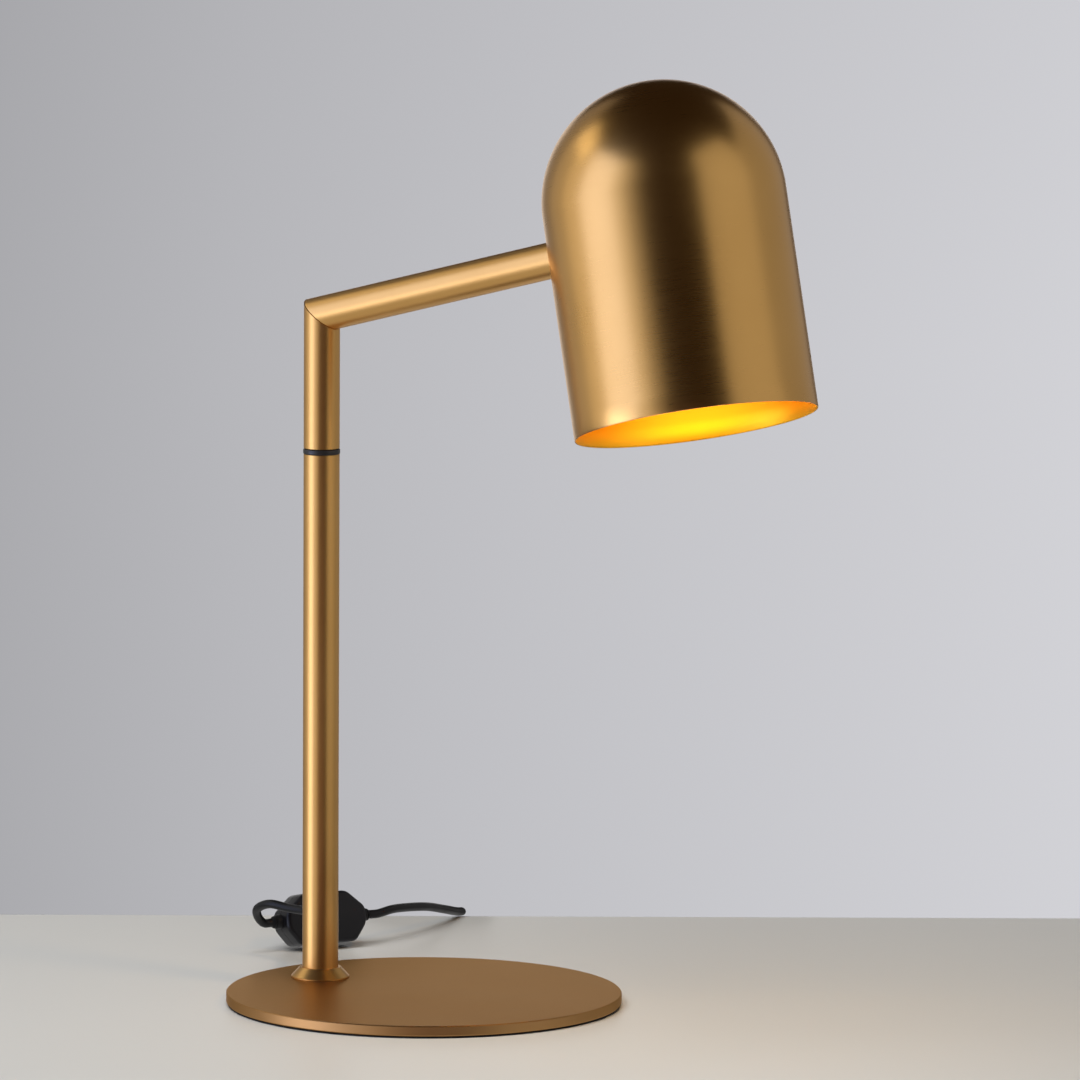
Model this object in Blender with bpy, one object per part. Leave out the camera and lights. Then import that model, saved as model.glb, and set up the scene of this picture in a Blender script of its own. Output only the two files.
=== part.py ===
"""A brass desk lamp: a round base, a pole with a swivel, and a bell-shaped head that turns on its arm.

Metres, +Z up. The origin is at the centre of the base's underside, and +X points from the pole across the
base. The arm turns about the pole, the head about the arm, and the in-line switch's rocker tilts.
"""

import math
from bisect import bisect_left

import bmesh
import bpy
from mathutils import Matrix, Vector

# Driving dimensions
GAP = 0.0003  # left between touching pieces
MERGE = 1e-6  # points closer than this become one

PAD_THICKNESS = 0.0008
PAD_RADIUS = 0.0993
PLATE_THICKNESS = 0.0055
PLATE_RADIUS = 0.1000
BASE_TOP = PAD_THICKNESS + PLATE_THICKNESS

POLE_OFFSET = 0.0665  # from the base's centre to the pole's axis
TUBE_RADIUS = 0.00915
TUBE_WALL = 0.0010
TUBE_BORE = TUBE_RADIUS - TUBE_WALL
INSERT_RADIUS = TUBE_BORE - GAP  # of the turned plugs inside the tubes

FERRULE_RADIUS = 0.0148
FERRULE_TOP_RADIUS = 0.0104
FERRULE_HEIGHT = 0.0055

RING_BOTTOM = 0.2746
RING_THICKNESS = 0.0034
RING_TOP = RING_BOTTOM + RING_THICKNESS
RING_RADIUS = 0.0094
ELBOW_HEIGHT = 0.3458
ARM_RISE = math.radians(14.6)
ARM_LENGTH = 0.2073  # from the pole's axis to the head's axis
SWIVEL_AT_REST = math.radians(6.55)
HEAD_ROLL_AT_REST = math.radians(-8.1)

SHADE_RADIUS = 0.0608
SHADE_WALL = 0.0009
DOME_CENTRE = 0.0154  # above the arm's axis, along the head's axis
RIM_BELOW = 0.0967  # below the arm's axis
BEND_HEIGHT = 0.0270  # of the bracket's shelf above the arm's axis

SPINDLE_RADIUS = 0.0050
SPINDLE_BORE = 0.0036
SPINDLE_HOLE = SPINDLE_RADIUS + GAP
NUT_CORNERS = 0.0088
FOOT_PLUG_HEIGHT = 0.0150
LEAD_RADIUS = 0.0022  # of the cable inside the tubes
CORD_RADIUS = 0.0023

OUTLET_HEIGHT = 0.0300  # where the cord leaves the pole
CORD_TURN = math.radians(37.3)  # of the cord's own frame about the base's centre
OUTLET = Vector((-0.0529, 0.0403, OUTLET_HEIGHT))  # the pole's axis in the cord's frame
BOOT_LENGTH = 0.0240
SMALL_BOOT = 0.0050

SWITCH_CENTRE = Vector((-0.0545, 0.1642, 0.0153))  # in the cord's frame
SWITCH_TURN = math.radians(28)
SWITCH_LEAN = math.radians(12)  # its top leans away from the lamp
SWITCH_LENGTH = 0.0464
SWITCH_HEIGHT = 0.0270
SWITCH_DEPTH = 0.0180
SWITCH_TAPER = 0.0105  # of each end above its flat
SWITCH_LOW_TAPER = 0.0070  # and below it
SWITCH_END = 0.0043  # half the height of each end's flat
SWITCH_WALL = 0.0018
ROCKER_TILT = math.radians(7)
WINDOW = (0.0105, 0.0065)  # half length and half height of the rocker's window
SCREW_PLACES = (-0.0165, 0.0165)  # along the switch, from its centre
SCREW_RADIUS = 0.0026

COIL_CENTRE = Vector((0.0026, 0.3010, 0.0081))
COIL_MIDDLE = 0.0268  # radius at the middle of the turns
COIL_HALF = 0.0071  # half the width of the bundle of turns
STUB = 0.0020  # of a cable's first and last segments
COIL_EXIT = 0.0190  # from the coil's tangent point to where a cord clears the bundle

PLUG_LENGTH = 0.0350
PLUG_WIDTH = 0.0350
PLUG_DEPTH = 0.0137
PLUG_PIN_SPACING = 0.0186
PLUG_PIN_LENGTH = 0.0190
PLUG_BOOT = 0.0200

# The friction stack behind each swivel: places along its spindle, from the socket's free face
PIN_RADIUS = 0.0006
PIN_OFFSET = 0.00675
PIN_DROP = 0.0016
PIN_SEAT = 0.0036
SOCKET_LENGTH = 0.0180
ARM_PLUG_LENGTH = 0.0140
LUG_PLACE = 0.0015
SPRING_PLACE = 0.0028
NUT_PLACE = 0.0072
SPINDLE_END = 0.0082
SOCKET_BOTTOM = RING_BOTTOM - SOCKET_LENGTH
LEAD_SPLIT = SOCKET_BOTTOM - 0.0110  # where the pole's cable meets the arm's
ARM_END = ARM_LENGTH - SHADE_RADIUS - 0.0016
ARM_PLUG_START = ARM_END - ARM_PLUG_LENGTH
HEAD_SPINDLE_START = ARM_PLUG_START - SPINDLE_END
HEAD_LEAD_START = HEAD_SPINDLE_START - 0.0010

BULB_SEAM = -0.0180  # where the glass leaves its screw cap, along the head's axis
BULB_TIP = -0.0880
BULB_RADIUS = 0.0290
BULB_NECK = 0.0126

# The cord's routes, in its own frame: the pole's outlet to the switch, and the switch to the coil
LEAD_ROUTE = [
    (-0.0529, 0.0738, 0.0300),
    (-0.0530, 0.0840, 0.0300),
    (-0.0540, 0.0980, 0.0280),
    (-0.0600, 0.1110, 0.0280),
    (-0.0700, 0.1210, 0.0280),
    (-0.0800, 0.1280, 0.0290),
    (-0.0865, 0.1375, 0.0250),
    (-0.0865, 0.1445, 0.0195),
]
RUN_ROUTE = [
    (-0.0150, 0.1920, 0.0160),
    (0.0000, 0.2160, 0.0130),
    (0.0100, 0.2380, 0.0080),
    (0.0160, 0.2550, 0.0040),
    (0.0195, 0.2625, 0.0026),
    (0.0235, 0.2705, 0.0026),
]


def clear_scene():
    for obj in list(bpy.data.objects):
        bpy.data.objects.remove(obj, do_unlink=True)


def finish(name, colour, roughness, metallic=0.0, alpha=1.0):
    """A plain Principled material."""
    made = bpy.data.materials.new(name)
    made.use_nodes = True
    shader = made.node_tree.nodes["Principled BSDF"]
    shader.inputs["Base Color"].default_value = (*colour, 1.0)
    shader.inputs["Roughness"].default_value = roughness
    shader.inputs["Metallic"].default_value = metallic
    shader.inputs["Alpha"].default_value = alpha
    made.diffuse_color = (*colour, alpha)
    return made


def empty(name, parent=None, location=(0, 0, 0), rotation=(0, 0, 0)):
    made = bpy.data.objects.new(name, None)
    bpy.context.scene.collection.objects.link(made)
    made.parent = parent
    made.location = location
    made.rotation_euler = rotation
    return made


def place(name, data, look, parent=None, location=(0, 0, 0), rotation=(0, 0, 0)):
    """An object of this mesh or curve, in the scene, with its material."""
    data.materials.append(look)
    made = bpy.data.objects.new(name, data)
    bpy.context.scene.collection.objects.link(made)
    made.parent = parent
    made.location = location
    made.rotation_euler = rotation
    return made


def closed_mesh(name, shape):
    """The mesh of a bmesh, its faces turned outwards and its round sides shaded smooth."""
    bmesh.ops.remove_doubles(shape, verts=shape.verts, dist=MERGE)
    bmesh.ops.recalc_face_normals(shape, faces=shape.faces)
    mesh = bpy.data.meshes.new(name)
    shape.to_mesh(mesh)
    shape.free()
    mesh.shade_smooth()
    mesh.set_sharp_from_angle(angle=math.radians(35))
    return mesh


def revolved(outline, segments):
    """A bmesh of an outline of (radius, height) points turned about Z."""
    shape = bmesh.new()
    points = [shape.verts.new((radius, 0, height)) for radius, height in outline]
    edges = [shape.edges.new(pair) for pair in zip(points, points[1:])]
    if outline[0][0] > 0:
        edges.append(shape.edges.new((points[-1], points[0])))
    bmesh.ops.spin(
        shape, geom=points + edges, cent=(0, 0, 0), axis=(0, 0, 1), angle=math.tau, steps=segments
    )
    bmesh.ops.remove_doubles(shape, verts=shape.verts, dist=MERGE)
    return shape


def turned(name, outline, look, segments=16, **where):
    return place(name, closed_mesh(name, revolved(outline, segments)), look, **where)


def sleeve(outer, inner, bottom, top):
    return [(inner, bottom), (outer, bottom), (outer, top), (inner, top)]


def rod(radius, bottom, top):
    return [(0, bottom), (radius, bottom), (radius, top), (0, top)]


def hex_nut(name, across_corners, bottom, top, look, **where):
    """A nut with a round bore: the outer points of a sleeve, moved on to a hexagon."""
    shape = revolved(sleeve(across_corners, SPINDLE_HOLE, bottom, top), 18)
    for point in shape.verts:
        if point.co.xy.length > SPINDLE_HOLE + MERGE:
            turn = math.atan2(point.co.y, point.co.x) % math.radians(60) - math.radians(30)
            reach = across_corners * math.cos(math.radians(30)) / math.cos(turn)
            point.co.xy = point.co.xy.normalized() * reach
    return place(name, closed_mesh(name, shape), look, **where)


def lug_washer(name, bottom, look, **where):
    """A washer keyed to its spindle, with a lug that meets the stop pin at both ends of its turn."""
    ring = 0.0058
    lug = 0.0074
    lug_half_angle = math.radians(8)
    thickness = 0.0012
    shape = revolved(sleeve(ring, SPINDLE_HOLE, bottom, bottom + thickness), 48)
    for point in shape.verts:
        turn = math.atan2(point.co.y, point.co.x)
        if point.co.xy.length > SPINDLE_HOLE + MERGE and abs(turn) < lug_half_angle:
            point.co.xy = point.co.xy.normalized() * lug
    return place(name, closed_mesh(name, shape), look, **where)


def block(low, high):
    """A bmesh box between two corners."""
    shape = bmesh.new()
    bmesh.ops.create_cube(shape, size=1.0)
    low, high = Vector(low), Vector(high)
    size = high - low
    move = Matrix.Translation((low + high) / 2) @ Matrix.Diagonal((*size, 1))
    bmesh.ops.transform(shape, matrix=move, verts=shape.verts)
    return shape


def extruded(outline, bottom, top):
    """A bmesh prism over a closed outline of (x, z) points, between two values of y."""
    shape = bmesh.new()
    face = shape.faces.new([shape.verts.new((x, bottom, z)) for x, z in outline])
    grown = bmesh.ops.extrude_face_region(shape, geom=[face])
    moved = [item for item in grown["geom"] if isinstance(item, bmesh.types.BMVert)]
    bmesh.ops.translate(shape, vec=(0, top - bottom, 0), verts=moved)
    return shape


def laid_flat(shape):
    """The same shape after a quarter turn about X."""
    turn = Matrix.Rotation(math.pi / 2, 3, "X")
    bmesh.ops.rotate(shape, matrix=turn, cent=(0, 0, 0), verts=shape.verts)
    return shape


def cutter(name, shape, parent=None, location=(0, 0, 0), rotation=(0, 0, 0)):
    """A hidden helper whose shape is taken out of another piece."""
    made = bpy.data.objects.new(name, closed_mesh(name, shape))
    bpy.context.scene.collection.objects.link(made)
    made.parent = parent
    made.location = location
    made.rotation_euler = rotation
    made.hide_render = True
    made.display_type = "WIRE"
    return made


def cut(piece, *cutters):
    for helper in cutters:
        step = piece.modifiers.new(helper.name, "BOOLEAN")
        step.operation = "DIFFERENCE"
        step.object = helper


def smooth_points(route, spacing):
    """Points a given distance apart on a Catmull-Rom curve through the route's own points.

    The short first and last segments keep the route's own direction, so its ends meet their boots squarely.
    """
    points = [Vector(point) for point in route]
    ends = [2 * points[0] - points[1], *points, 2 * points[-1] - points[-2]]
    fine = []
    for before, start, end, after in zip(ends, ends[1:], ends[2:], ends[3:]):
        for step in range(20):
            t = step / 20
            fine.append(
                0.5
                * (
                    2 * start
                    + (end - before) * t
                    + (2 * before - 5 * start + 4 * end - after) * t**2
                    + (3 * start - before - 3 * end + after) * t**3
                )
            )
    fine.append(points[-1])
    walked = [0.0]
    for a, b in zip(fine, fine[1:]):
        walked.append(walked[-1] + (b - a).length)
    length = walked[-1]
    count = max(2, round(length / spacing))
    marks = [0.0, STUB, *(length * n / count for n in range(1, count)), length - STUB]
    return [*(fine[bisect_left(walked, mark)] for mark in marks), fine[-1]]


def cable(name, route, radius, look, parent=None):
    """A round cable along a route: a curve with a bevel and filled ends."""
    curve = bpy.data.curves.new(name, "CURVE")
    curve.dimensions = "3D"
    curve.bevel_depth = radius
    curve.bevel_resolution = 2
    curve.use_fill_caps = True
    points = smooth_points(route, 4 * radius)
    spline = curve.splines.new("POLY")
    spline.points.add(len(points) - 1)
    for slot, point in zip(spline.points, points):
        slot.co = (*point, 1)
    return place(name, curve, look, parent=parent)


# Finishes
BRASS = finish("satin_brass", (0.62, 0.40, 0.17), 0.32, 1.0)
BASE_BRASS = finish("base_brass", (0.50, 0.33, 0.17), 0.45, 1.0)
STEEL = finish("zinc_steel", (0.62, 0.62, 0.60), 0.35, 1.0)
BRIGHT_BRASS = finish("turned_brass", (0.72, 0.55, 0.25), 0.25, 1.0)
BLACK = finish("black_plastic", (0.02, 0.02, 0.022), 0.45)
RUBBER = finish("black_cord", (0.015, 0.015, 0.016), 0.55)
PAD = finish("black_foam", (0.02, 0.02, 0.02), 0.9)
HOLDER = finish("lampholder_black", (0.03, 0.03, 0.03), 0.4)
GLASS = finish("opal_glass", (1.0, 0.86, 0.62), 0.3)
NICKEL = finish("nickel", (0.75, 0.74, 0.70), 0.25, 1.0)


def base_pieces():
    """The round plate on its foam pad, with the nut and the hollow screw that hold the pole."""
    at_pole = {"location": (-POLE_OFFSET, 0, 0)}
    turned("base_pad", rod(PAD_RADIUS, 0, PAD_THICKNESS), PAD, 64)
    bevel = 0.0007
    bottom, top = PAD_THICKNESS + GAP, BASE_TOP
    plate = turned(
        "base_plate",
        [
            (0, bottom),
            (PLATE_RADIUS - bevel, bottom),
            (PLATE_RADIUS, bottom + bevel),
            (PLATE_RADIUS, top - bevel),
            (PLATE_RADIUS - bevel, top),
            (0, top),
        ],
        BASE_BRASS,
        64,
    )
    recess_radius, recess_top = 0.0110, 0.0048
    recess = cutter("nut_recess", revolved(rod(recess_radius, -bevel, recess_top), 24), **at_pole)
    through = cutter("foot_hole", revolved(rod(SPINDLE_HOLE, -bevel, 2 * BASE_TOP), 16), **at_pole)
    cut(plate, recess, through)
    turned("foot_washer", sleeve(0.0098, SPINDLE_HOLE, 0.0039, recess_top - GAP), STEEL, **at_pole)
    hex_nut("foot_nut", NUT_CORNERS, 0.0016, 0.0036, STEEL, **at_pole)
    nipple_top = BASE_TOP + 0.0165
    nipple = sleeve(SPINDLE_RADIUS, SPINDLE_BORE, PAD_THICKNESS + GAP, nipple_top)
    turned("foot_nipple", nipple, STEEL, **at_pole)
    turned(
        "pole_ferrule",
        [
            (TUBE_RADIUS + GAP, BASE_TOP + GAP),
            (FERRULE_RADIUS, BASE_TOP + GAP),
            (FERRULE_RADIUS, BASE_TOP + 0.0009),
            (FERRULE_TOP_RADIUS, BASE_TOP + FERRULE_HEIGHT),
            (TUBE_RADIUS + GAP, BASE_TOP + FERRULE_HEIGHT),
        ],
        BRASS,
        36,
        **at_pole,
    )


def stop_pin(face):
    return rod(PIN_RADIUS, face - PIN_DROP, face + PIN_SEAT)


def pin_seat(face):
    """The blind hole that a stop pin sits in."""
    return revolved(rod(PIN_RADIUS + GAP, face - PIN_DROP, face + PIN_SEAT + GAP), 12)


def lower_pole_pieces():
    """The fixed tube, the plugs in its two ends and the boot that the cord leaves through."""
    at_pole = {"location": (-POLE_OFFSET, 0, 0)}
    bottom = BASE_TOP + GAP
    top = RING_BOTTOM - GAP
    tube = turned("lower_pole", sleeve(TUBE_RADIUS, TUBE_BORE, bottom, top), BRASS, 40, **at_pole)
    foot = sleeve(INSERT_RADIUS, SPINDLE_HOLE, bottom, BASE_TOP + FOOT_PLUG_HEIGHT)
    turned("foot_plug", foot, BRIGHT_BRASS, **at_pole)
    socket_outline = sleeve(INSERT_RADIUS, SPINDLE_HOLE, SOCKET_BOTTOM, top)
    socket = turned("swivel_socket", socket_outline, BRIGHT_BRASS, **at_pole)
    pin_place = {"location": (-POLE_OFFSET - PIN_OFFSET, 0, 0)}
    cut(socket, cutter("pin_seat", pin_seat(SOCKET_BOTTOM), **pin_place))
    turned("swivel_stop_pin", stop_pin(SOCKET_BOTTOM), STEEL, 12, **pin_place)
    ring = sleeve(RING_RADIUS, SPINDLE_HOLE, RING_BOTTOM, RING_TOP)
    turned("swivel_ring", ring, BLACK, 40, **at_pole)

    boot_root = TUBE_BORE - 0.0020
    outlet = empty("outlet", cord_frame, OUTLET, (-math.pi / 2, 0, 0))
    neck, grip = 0.0032, 0.0046
    boot_tip = TUBE_RADIUS + BOOT_LENGTH
    turned(
        "cord_boot",
        [
            (0, boot_root),
            (neck, boot_root),
            (neck, TUBE_RADIUS + GAP),
            (grip, TUBE_RADIUS + GAP + 0.0004),
            (grip, TUBE_RADIUS + 0.0030),
            (CORD_RADIUS + 0.0006, boot_tip),
            (0, boot_tip),
        ],
        RUBBER,
        24,
        parent=outlet,
    )
    cut(tube, cutter("outlet_hole", revolved(rod(neck + GAP, 0.0, 2 * TUBE_RADIUS), 24), outlet))

    route = [
        Vector((-POLE_OFFSET, 0, BASE_TOP + 0.0255)),
        Vector((-POLE_OFFSET + 0.001, 0, 0.12)),
        Vector((-POLE_OFFSET, 0, LEAD_SPLIT - GAP)),
    ]
    cable("pole_lead", route, LEAD_RADIUS, RUBBER)


def friction_stack(prefix, face, parent):
    """The keyed washer, spring washer and nut that hold a spindle to its socket, below a face."""
    lug_washer(prefix + "_lug_washer", face - LUG_PLACE, STEEL, parent=parent)
    dish = [
        (SPINDLE_HOLE, face - SPRING_PLACE),
        (0.0072, face - SPRING_PLACE + GAP),
        (0.0072, face - LUG_PLACE - GAP),
        (SPINDLE_HOLE, face - LUG_PLACE - 2 * GAP),
    ]
    turned(prefix + "_spring_washer", dish, STEEL, parent=parent)
    hex_nut(prefix + "_nut", INSERT_RADIUS - GAP, face - NUT_PLACE, face - SPRING_PLACE - GAP, STEEL, parent=parent)


def arm_pieces():
    """The upper post and the arm, mitred and brazed to each other, with the swivel's spindle below."""
    mitre = math.tan((math.pi / 2 - ARM_RISE) / 2)
    seam = GAP / 2 / math.cos(math.atan(mitre))
    post_top = ELBOW_HEIGHT - RING_TOP

    shape = revolved(sleeve(TUBE_RADIUS, TUBE_BORE, GAP, post_top), 40)
    for point in shape.verts:
        if point.co.z > post_top / 2:
            point.co.z = post_top - seam - mitre * point.co.x
    place("upper_post", closed_mesh("upper_post", shape), BRASS, parent=swivel)

    shape = revolved(sleeve(TUBE_RADIUS, TUBE_BORE, 0, ARM_END), 40)
    for point in shape.verts:
        if point.co.z < ARM_END / 2:
            point.co.z = seam + mitre * point.co.x
    place("arm_tube", closed_mesh("arm_tube", shape), BRASS, parent=arm_axis)

    face = SOCKET_BOTTOM - RING_TOP
    spindle_end = face - SPINDLE_END
    turned(
        "swivel_spigot",
        [
            (SPINDLE_BORE, spindle_end),
            (SPINDLE_RADIUS, spindle_end),
            (SPINDLE_RADIUS, GAP),
            (INSERT_RADIUS, GAP),
            (INSERT_RADIUS, SOCKET_LENGTH),
            (SPINDLE_BORE, SOCKET_LENGTH),
        ],
        BRIGHT_BRASS,
        parent=swivel,
    )
    friction_stack("swivel", face, swivel)

    pin_place = {"parent": arm_axis, "location": (-PIN_OFFSET, 0, 0)}
    plug_outline = sleeve(INSERT_RADIUS, SPINDLE_HOLE, ARM_PLUG_START, ARM_END - GAP)
    plug_piece = turned("arm_plug", plug_outline, BRIGHT_BRASS, parent=arm_axis)
    cut(plug_piece, cutter("arm_pin_seat", pin_seat(ARM_PLUG_START), **pin_place))
    turned("head_stop_pin", stop_pin(ARM_PLUG_START), STEEL, 12, **pin_place)

    low = Vector((0, 0, LEAD_SPLIT - RING_TOP + GAP))
    along = arm_axis.parent.matrix_local.to_3x3() @ Vector((1, 0, 0))
    corner = Vector((0, 0, post_top))
    bend = 0.030
    route = [
        low,
        Vector((0, 0, face + SOCKET_LENGTH)),
        corner - Vector((0, 0, bend)),
        corner - Vector((0, 0, bend / 3)) + along * 0.0015,
        corner + along * bend / 3 - Vector((0, 0, 0.0015)),
        corner + along * bend,
        corner + along * (HEAD_LEAD_START - 2 * GAP),
    ]
    cable("arm_lead", route, LEAD_RADIUS, RUBBER, swivel)


def shade_outline():
    """The wall of the bell, from the outer top down to the rim and back up inside."""
    steps = 8
    angles = [math.radians(90 * step / steps) for step in range(steps + 1)]
    inner = SHADE_RADIUS - SHADE_WALL
    outside = [(SHADE_RADIUS * math.sin(a), DOME_CENTRE + SHADE_RADIUS * math.cos(a)) for a in angles]
    inside = [(inner * math.sin(a), DOME_CENTRE + inner * math.cos(a)) for a in reversed(angles)]
    outside[0], inside[-1] = (0, outside[0][1]), (0, inside[-1][1])
    return [*outside, (SHADE_RADIUS, -RIM_BELOW), (inner, -RIM_BELOW), *inside]


def head_pieces():
    """The bell with its spindle, the bracket inside it, the lampholder and the bulb."""
    along_arm = {"parent": head_spindle_axis}
    shade = turned("shade", shade_outline(), BRASS, 48, parent=head)
    wall = ARM_LENGTH - SHADE_RADIUS
    through_wall = revolved(rod(SPINDLE_HOLE, wall - 0.010, wall + 0.010), 16)
    cut(shade, cutter("spindle_hole", through_wall, head_spindle_axis))

    inside_wall = wall + SHADE_WALL
    washer = sleeve(TUBE_RADIUS - 0.0004, SPINDLE_HOLE, wall - 0.0013, wall - GAP)
    turned("head_washer", washer, BLACK, 24, **along_arm)
    spindle = sleeve(SPINDLE_RADIUS, SPINDLE_BORE, HEAD_SPINDLE_START, wall + 0.0120)
    turned("head_spindle", spindle, STEEL, **along_arm)
    friction_stack("head", ARM_PLUG_START, head_spindle_axis)

    leg = inside_wall + 0.0034
    thickness = 0.0020
    half_width = 0.0080
    spacer = sleeve(0.0072, SPINDLE_HOLE, inside_wall + 0.0009, leg - GAP)
    turned("head_spacer", spacer, STEEL, **along_arm)
    behind_leg = leg + thickness
    hex_nut("head_fixing_nut", NUT_CORNERS, behind_leg + GAP, behind_leg + 0.0045, STEEL, **along_arm)

    leg_x = leg - ARM_LENGTH
    shelf_end = 0.0090
    foot = -0.0100
    outline = [
        (leg_x, foot),
        (leg_x + thickness, foot),
        (leg_x + thickness, BEND_HEIGHT - thickness),
        (shelf_end, BEND_HEIGHT - thickness),
        (shelf_end, BEND_HEIGHT),
        (leg_x, BEND_HEIGHT),
    ]
    shape = extruded(outline, -half_width, half_width)
    bracket = place("head_bracket", closed_mesh("head_bracket", shape), STEEL, parent=head)
    through_leg = revolved(rod(SPINDLE_HOLE, leg - thickness, leg + 3 * thickness), 16)
    through_shelf = revolved(rod(SPINDLE_HOLE, BEND_HEIGHT - 3 * thickness, BEND_HEIGHT + thickness), 24)
    cut(
        bracket,
        cutter("leg_hole", through_leg, head_spindle_axis),
        cutter("shelf_hole", through_shelf, head),
    )

    cap_top = BEND_HEIGHT - thickness - GAP
    cap_bottom = cap_top - 0.0150
    skirt_bottom = -0.0200
    inner = 0.0142
    nipple = sleeve(SPINDLE_RADIUS, SPINDLE_BORE, cap_top - 0.0070, BEND_HEIGHT + 0.0065)
    turned("lampholder_nipple", nipple, STEEL, parent=head)
    hex_nut("lampholder_nut", NUT_CORNERS, BEND_HEIGHT + GAP, BEND_HEIGHT + 0.0040, STEEL, parent=head)
    turned(
        "lampholder_cap",
        [
            (SPINDLE_HOLE, cap_top),
            (0.0135, cap_top),
            (0.0185, cap_top - 0.0060),
            (0.0195, cap_bottom),
            (0.0175, cap_bottom),
            (0.0165, cap_top - 0.0080),
            (SPINDLE_HOLE, cap_top - 0.0080),
        ],
        HOLDER,
        24,
        parent=head,
    )
    turned(
        "lampholder_skirt",
        [
            (0, cap_bottom - 0.0025),
            (inner, cap_bottom - 0.0025),
            (inner, skirt_bottom),
            (0.0186, skirt_bottom),
            (0.0195, skirt_bottom + 0.0020),
            (0.0195, cap_bottom - GAP),
            (0, cap_bottom - GAP),
        ],
        HOLDER,
        24,
        parent=head,
    )
    contact_top = cap_bottom - 0.0028
    contact = rod(0.0050, contact_top - 0.0008, contact_top)
    turned("lampholder_contact", contact, BRIGHT_BRASS, parent=head)

    bulb_seat = contact_top - 0.0011
    turned(
        "bulb_cap",
        [
            (0, bulb_seat),
            (0.0048, bulb_seat),
            (0.0060, bulb_seat - 0.0022),
            (0.0122, bulb_seat - 0.0052),
            (0.0131, bulb_seat - 0.0070),
            (0.0131, BULB_SEAM + 2 * GAP),
            (0, BULB_SEAM + 2 * GAP),
        ],
        NICKEL,
        20,
        parent=head,
    )
    turned("bulb_glass", bulb_outline(), GLASS, 28, parent=head)

    start = HEAD_LEAD_START - ARM_LENGTH
    route = [
        (start, 0, 0),
        (-0.055, 0, 0),
        (-0.044, 0.001, 0.000),
        (-0.036, 0.007, 0.004),
        (-0.031, 0.0145, 0.014),
        (-0.026, 0.0150, 0.027),
        (-0.018, 0.0110, 0.038),
        (-0.008, 0.0030, 0.044),
        (-0.001, 0.0003, 0.041),
        (0, 0, 0.034),
        (0, 0, 0.021),
    ]
    cable("head_lead", route, LEAD_RADIUS, RUBBER, head)


def bulb_outline():
    """A pear-shaped bulb: a round end that runs up in a smooth shoulder to the neck."""
    centre = BULB_TIP + BULB_RADIUS
    round_end = [
        (BULB_RADIUS * math.sin(a), centre - BULB_RADIUS * math.cos(a))
        for a in (math.radians(15 * step) for step in range(8))
    ]
    round_end[0] = (0, BULB_TIP)
    top_radius, top_height = round_end[-1]
    shoulder = []
    for step in range(1, 5):
        share = step / 4
        ease = share * share * (3 - 2 * share)
        height = top_height + (BULB_SEAM - top_height) * share
        shoulder.append((top_radius + (BULB_NECK - top_radius) * ease, height))
    return [*round_end, *shoulder, (0, BULB_SEAM)]


def boot_outline(length, root):
    """A short tapered strain relief along Z, from its root at 0 to its tip."""
    return [(0, 0), (root, 0), (root, 0.0025), (CORD_RADIUS + 0.0006, length), (0, length)]


def switch_outline(inset=0.0):
    """The switch's wide face: a long octagon whose ends taper to the cord, most of all at the top."""
    half = SWITCH_LENGTH / 2 - inset
    tall = SWITCH_HEIGHT / 2 - inset
    end = SWITCH_END - inset / 2
    right = [(half - SWITCH_LOW_TAPER, -tall), (half, -end), (half, end), (half - SWITCH_TAPER, tall)]
    left = [(-x, z) for x, z in right]
    return [*right, *reversed(left)]


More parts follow.
